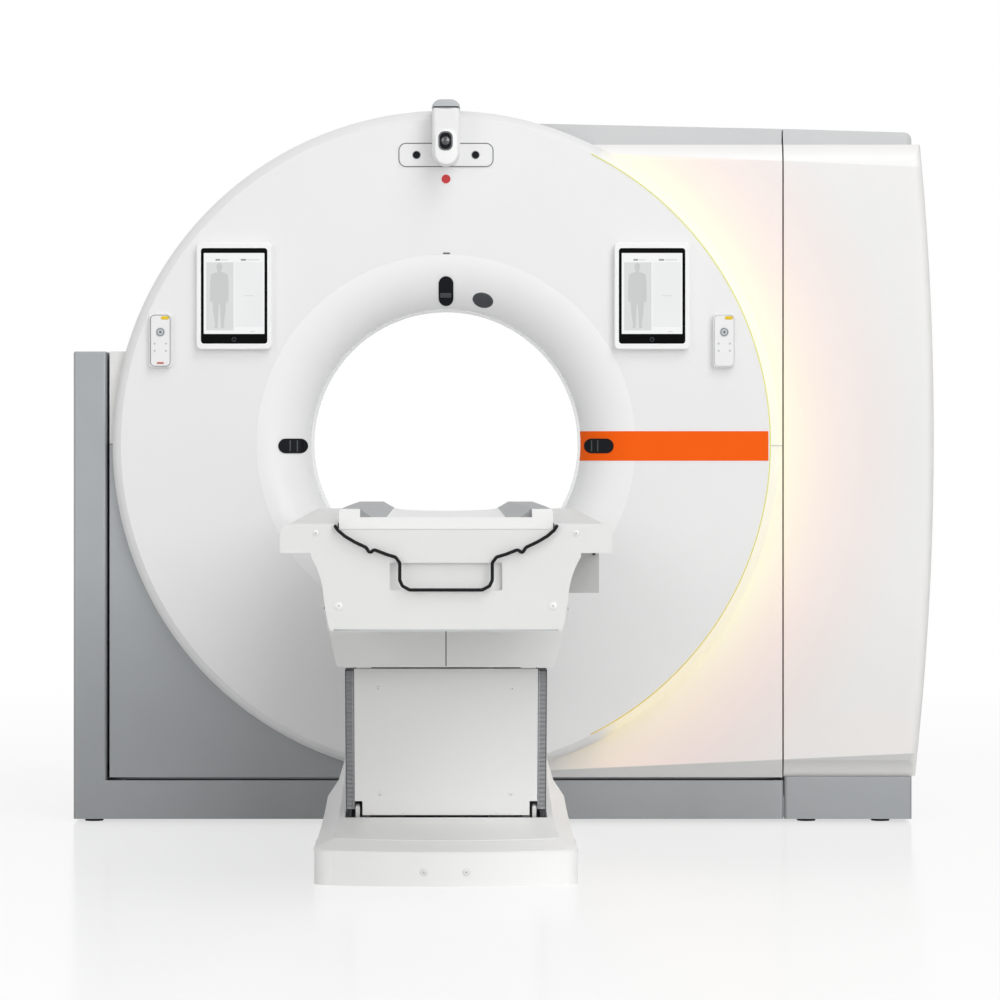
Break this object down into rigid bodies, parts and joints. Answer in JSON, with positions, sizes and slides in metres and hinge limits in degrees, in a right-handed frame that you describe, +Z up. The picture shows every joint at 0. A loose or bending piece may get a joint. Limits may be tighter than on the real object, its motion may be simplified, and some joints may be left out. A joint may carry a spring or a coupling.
{
  "type": "ct scanner",
  "caption": "CT scanner: a round tilting gantry between a post and a white tower, with a patient table on a leaning parallelogram lift.",
  "frame": {"origin": "on the floor under the isocentre, at the middle of the gantry's floor anchors", "axes": "+Z up, +Y from the table into the gantry along the bore, +X to the right of someone at the table's foot"},
  "size_m": [2.234, 2.8635, 1.861],
  "materials": {
    "frame_steel": "semi-gloss grey paint over welded steel",
    "bearing_steel": "ground steel",
    "motor_paint": "grey machine enamel",
    "cabinet_paint": "fine-textured powder coat",
    "cover_white": "moulded, satin white paint",
    "cover_grey": "moulded, satin grey paint",
    "roof_grey": "moulded, satin light grey paint",
    "disc_white": "moulded, satin cool white paint",
    "table_white": "moulded, satin white paint",
    "liner_plastic": "smooth translucent film tube",
    "light_diffuser": "frosted light guide",
    "dark_glass": "polished tinted acrylic",
    "lamp_red": "clear red lens",
    "band_orange": "smooth orange film",
    "tablet_white": "moulded satin white",
    "screen_glass": "polished glass over a display",
    "remote_white": "moulded satin white",
    "key_grey": "soft moulded key",
    "drum_aluminium": "machined casting",
    "slip_ring_composite": "moulded composite",
    "black_plastic": "moulded black nylon",
    "gaiter_rubber": "matt folded rubber",
    "handle_black": "black powder-coated wire",
    "tabletop_gelcoat": "smooth gelcoat over carbon fibre",
    "pad_vinyl": "smooth coated fabric over foam"
  },
  "bodies": {
    "stand": {"base_frame": "frame_steel", "levelling_feet": "black_plastic", "plinth_cover": "cover_grey", "left_post_cover": "cover_grey", "tilt_bearings": "bearing_steel", "tilt_gearmotor": "motor_paint", "power_cabinet": "cabinet_paint", "tower_cover": "cover_white", "tower_base": "cover_grey", "tower_roof": "roof_grey", "table_base_frame": "frame_steel", "table_base_cover": "table_white", "lift_gearmotor": "motor_paint", "cable_duct": "cover_grey"},
    "gantry": {"tilt_frame": "frame_steel", "barrel_shell": "cover_white", "rear_cover": "cover_white", "disc_cover": "disc_white", "front_funnel": "disc_white", "bore_liner": "liner_plastic", "rear_funnel": "disc_white", "lower_left_shoulder": "cover_grey", "upper_left_shoulder": "cover_white", "right_shoulder": "cover_white", "roof_cap": "roof_grey", "light_strip": "light_diffuser", "camera_pod": "disc_white", "camera_window": "dark_glass", "sensor_plate": "disc_white", "room_sensors": "dark_glass", "indicator_lamp": "lamp_red", "laser_windows": "dark_glass", "orange_band": "band_orange", "tablet_cases": "tablet_white", "tablet_screens": "screen_glass", "remote_cases": "remote_white", "main_bearing": "bearing_steel"},
    "left_key": {"left_remote_key": "key_grey"},
    "right_key": {"right_remote_key": "key_grey"},
    "rotor": {"rotor_drum": "drum_aluminium", "slip_ring": "slip_ring_composite", "xray_tube": "motor_paint", "collimator": "frame_steel", "detector_arc": "cabinet_paint", "generator_boxes": "cabinet_paint"},
    "front_blade": {"front_blade": "bearing_steel"},
    "rear_blade": {"rear_blade": "bearing_steel"},
    "arm": {"lift_arm": "frame_steel", "arm_panel": "table_white", "side_gaiters": "gaiter_rubber"},
    "links": {"lift_links": "frame_steel"},
    "carriage": {"trough_cover": "table_white", "end_cap": "table_white", "wing_covers": "table_white", "carriage_frame": "frame_steel", "lower_housing": "table_white", "side_box": "roof_grey", "pull_handle": "handle_black"},
    "tabletop": {"tabletop": "tabletop_gelcoat", "table_pad": "pad_vinyl"}
  },
  "joints": [
    {"name": "gantry_tilt", "type": "hinge", "parent": "stand", "child": "gantry", "pos_m": [0, 0, 0.98], "axis": [1, 0, 0], "range_deg": [-30, 30]},
    {"name": "rotor_spin", "type": "hinge", "parent": "gantry", "child": "rotor", "pos_m": [0, 0, 0.98], "axis": [0, 1, 0], "continuous": true},
    {"name": "front_blade_slide", "type": "slide", "parent": "rotor", "child": "front_blade", "axis": [0, 1, 0], "range_m": [-0.018, 0]},
    {"name": "rear_blade_slide", "type": "slide", "parent": "rotor", "child": "rear_blade", "axis": [0, 1, 0], "range_m": [0, 0.018]},
    {"name": "left_key_press", "type": "slide", "parent": "gantry", "child": "left_key", "axis": [0, 1, 0], "range_m": [0, 0.0015], "stiffness_N_per_m": 600},
    {"name": "right_key_press", "type": "slide", "parent": "gantry", "child": "right_key", "axis": [0, 1, 0], "range_m": [0, 0.0015], "stiffness_N_per_m": 600},
    {"name": "table_lift", "type": "hinge", "parent": "stand", "child": "arm", "pos_m": [0, -1.08, 0.18], "axis": [-1, 0, 0], "range_deg": [-55.5, 12]},
    {"name": "link_swing", "type": "hinge", "parent": "stand", "child": "links", "pos_m": [0, -1.01, 0.23], "axis": [-1, 0, 0], "range_deg": [-55.5, 12]},
    {"name": "carriage_level", "type": "hinge", "parent": "arm", "child": "carriage", "pos_m": [0, -1.21278, 0.66205], "axis": [1, 0, 0], "range_deg": [-55.5, 12]},
    {"name": "tabletop_slide", "type": "slide", "parent": "carriage", "child": "tabletop", "axis": [0, 1, 0], "range_m": [0, 1.5]}
  ],
  "couplings": [
    {"joint": "link_swing", "follows": "table_lift", "ratio": 1},
    {"joint": "carriage_level", "follows": "table_lift", "ratio": 1}
  ]
}
